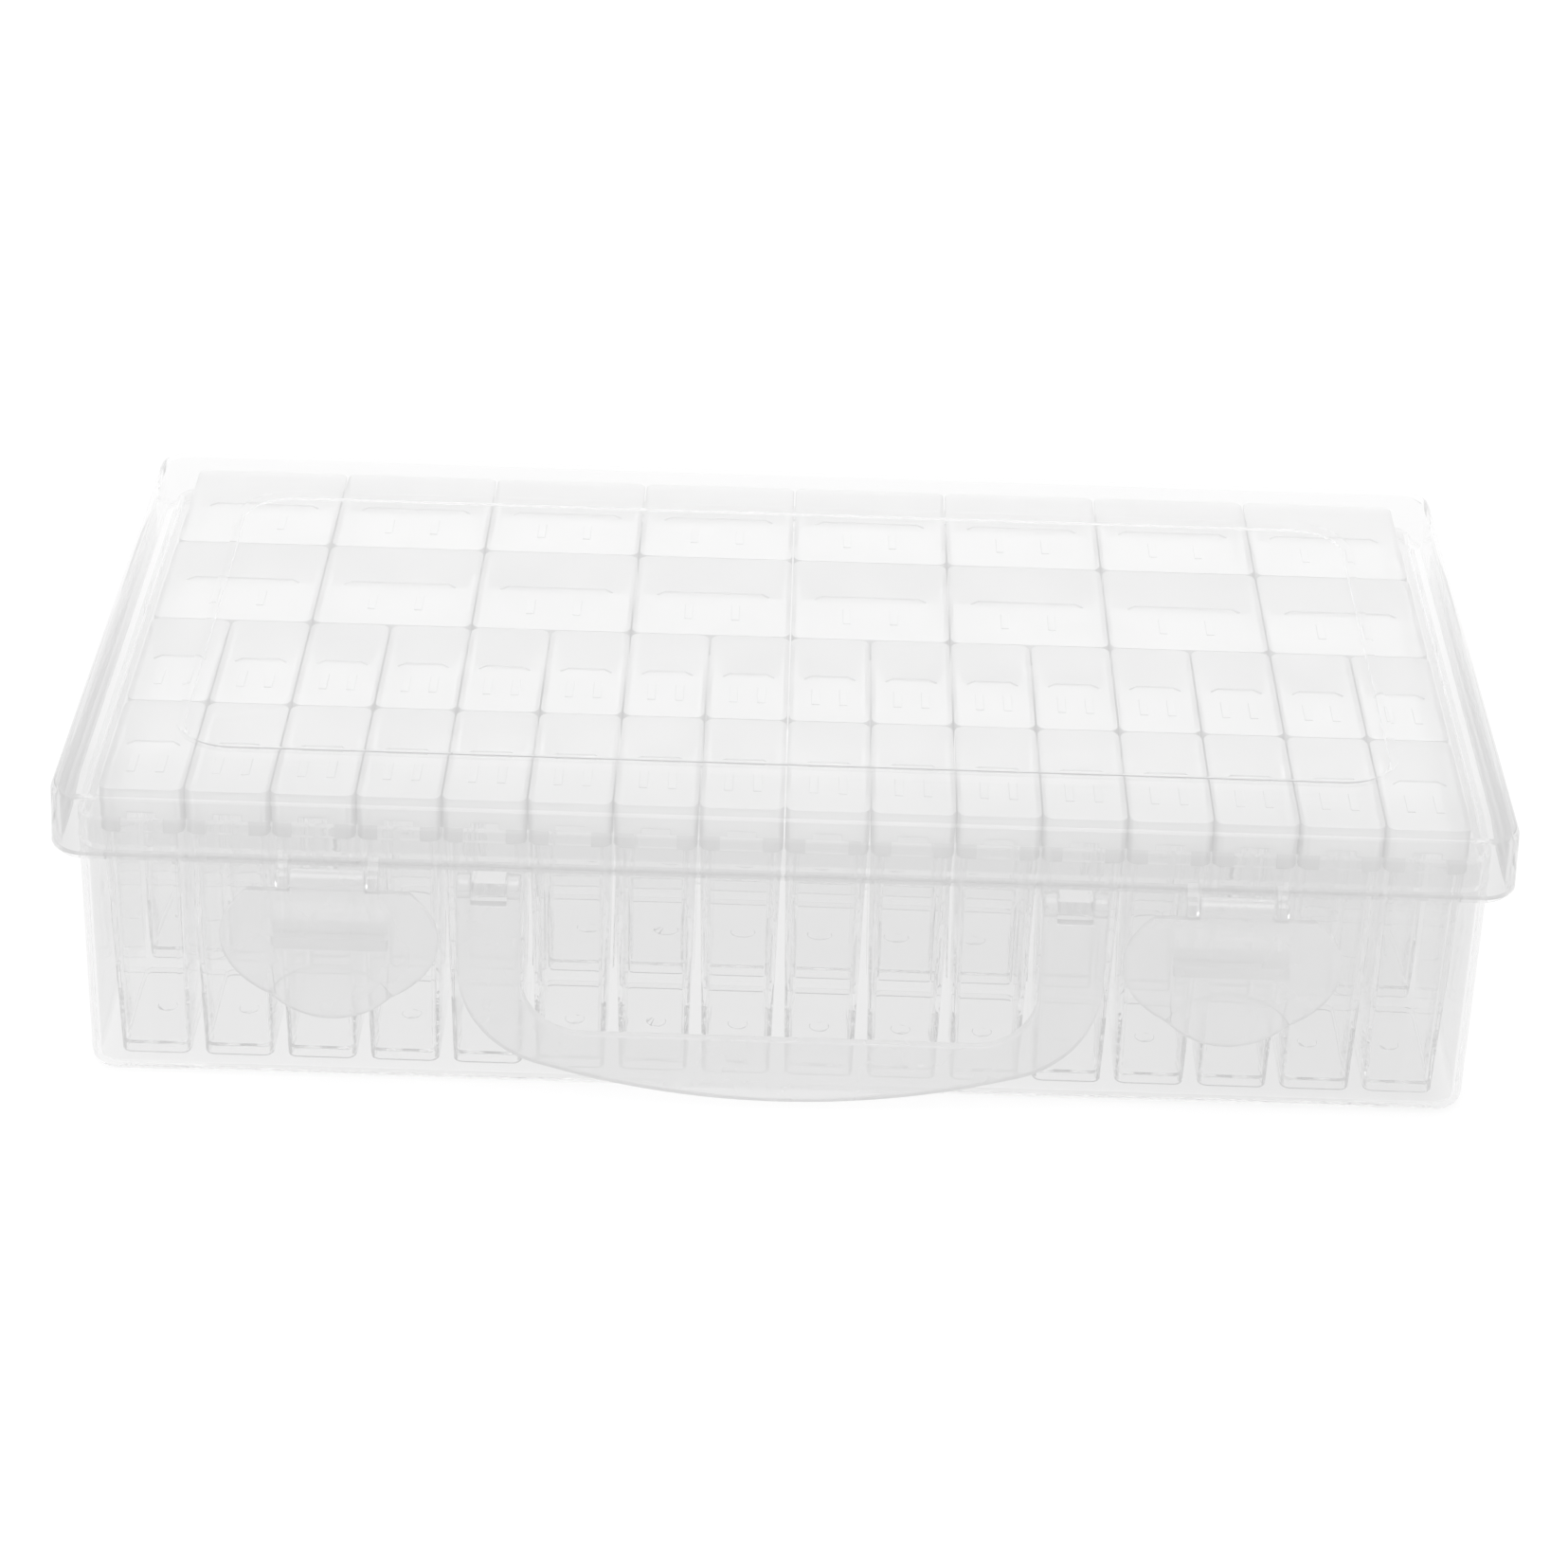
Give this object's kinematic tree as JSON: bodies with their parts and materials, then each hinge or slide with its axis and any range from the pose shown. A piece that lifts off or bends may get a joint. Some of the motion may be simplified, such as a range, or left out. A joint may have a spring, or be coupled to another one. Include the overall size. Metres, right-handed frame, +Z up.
{
  "type": "storage box",
  "caption": "Clear hinged case with a carrying handle and two drop latches, filled with rows of flip-top jars for beads and thread.",
  "frame": {"origin": "centre of the underside of the base, which is the face that the box stands on", "axes": "+X along the width to the right, +Y to the rear hinges, +Z up"},
  "size_m": [0.3422, 0.202, 0.08],
  "materials": {
    "clear_case": "clear moulded plastic, gloss",
    "clear_jar": "clear moulded plastic, gloss",
    "milky_cap": "translucent moulded plastic, satin",
    "milky_fitting": "translucent moulded plastic, satin"
  },
  "bodies": {
    "base": {"base_box": "clear_case", "front_jar_caps": "milky_cap", "second_jar_caps": "milky_cap", "third_jar_caps": "milky_cap", "back_jar_caps": "milky_cap", "front_jar_01": "clear_jar", "front_jar_02": "clear_jar", "front_jar_03": "clear_jar", "front_jar_04": "clear_jar", "front_jar_05": "clear_jar", "front_jar_06": "clear_jar", "front_jar_07": "clear_jar", "front_jar_08": "clear_jar", "front_jar_09": "clear_jar", "front_jar_10": "clear_jar", "front_jar_11": "clear_jar", "front_jar_12": "clear_jar", "front_jar_13": "clear_jar", "front_jar_14": "clear_jar", "front_jar_15": "clear_jar", "front_jar_16": "clear_jar", "second_jar_01": "clear_jar", "second_jar_02": "clear_jar", "second_jar_03": "clear_jar", "second_jar_04": "clear_jar", "second_jar_05": "clear_jar", "second_jar_06": "clear_jar", "second_jar_07": "clear_jar", "second_jar_08": "clear_jar", "second_jar_09": "clear_jar", "second_jar_10": "clear_jar", "second_jar_11": "clear_jar", "second_jar_12": "clear_jar", "second_jar_13": "clear_jar", "second_jar_14": "clear_jar", "second_jar_15": "clear_jar", "second_jar_16": "clear_jar", "third_jar_01": "clear_jar", "third_jar_02": "clear_jar", "third_jar_03": "clear_jar", "third_jar_04": "clear_jar", "third_jar_05": "clear_jar", "third_jar_06": "clear_jar", "third_jar_07": "clear_jar", "third_jar_08": "clear_jar", "back_jar_01": "clear_jar", "back_jar_02": "clear_jar", "back_jar_03": "clear_jar", "back_jar_04": "clear_jar", "back_jar_05": "clear_jar", "back_jar_06": "clear_jar", "back_jar_07": "clear_jar", "back_jar_08": "clear_jar"},
    "lid": {"lid": "clear_case"},
    "left_latch": {"left_latch": "milky_fitting"},
    "right_latch": {"right_latch": "milky_fitting"},
    "carry_handle": {"carry_handle": "milky_fitting"}
  },
  "joints": [
    {"name": "lid_hinge", "type": "hinge", "parent": "base", "child": "lid", "pos_m": [0, 0.09835, 0.0665], "axis": [-1, 0, 0], "range_deg": [0, 180]},
    {"name": "left_latch_hinge", "type": "hinge", "parent": "lid", "child": "left_latch", "pos_m": [-0.1055, -0.0984, 0.061], "axis": [-1, 0, 0], "range_deg": [0, 110]},
    {"name": "right_latch_hinge", "type": "hinge", "parent": "lid", "child": "right_latch", "pos_m": [0.1055, -0.0984, 0.061], "axis": [-1, 0, 0], "range_deg": [0, 110]},
    {"name": "handle_hinge", "type": "hinge", "parent": "base", "child": "carry_handle", "pos_m": [0, -0.0947, 0.0584], "axis": [-1, 0, 0], "range_deg": [0, 90]}
  ]
}
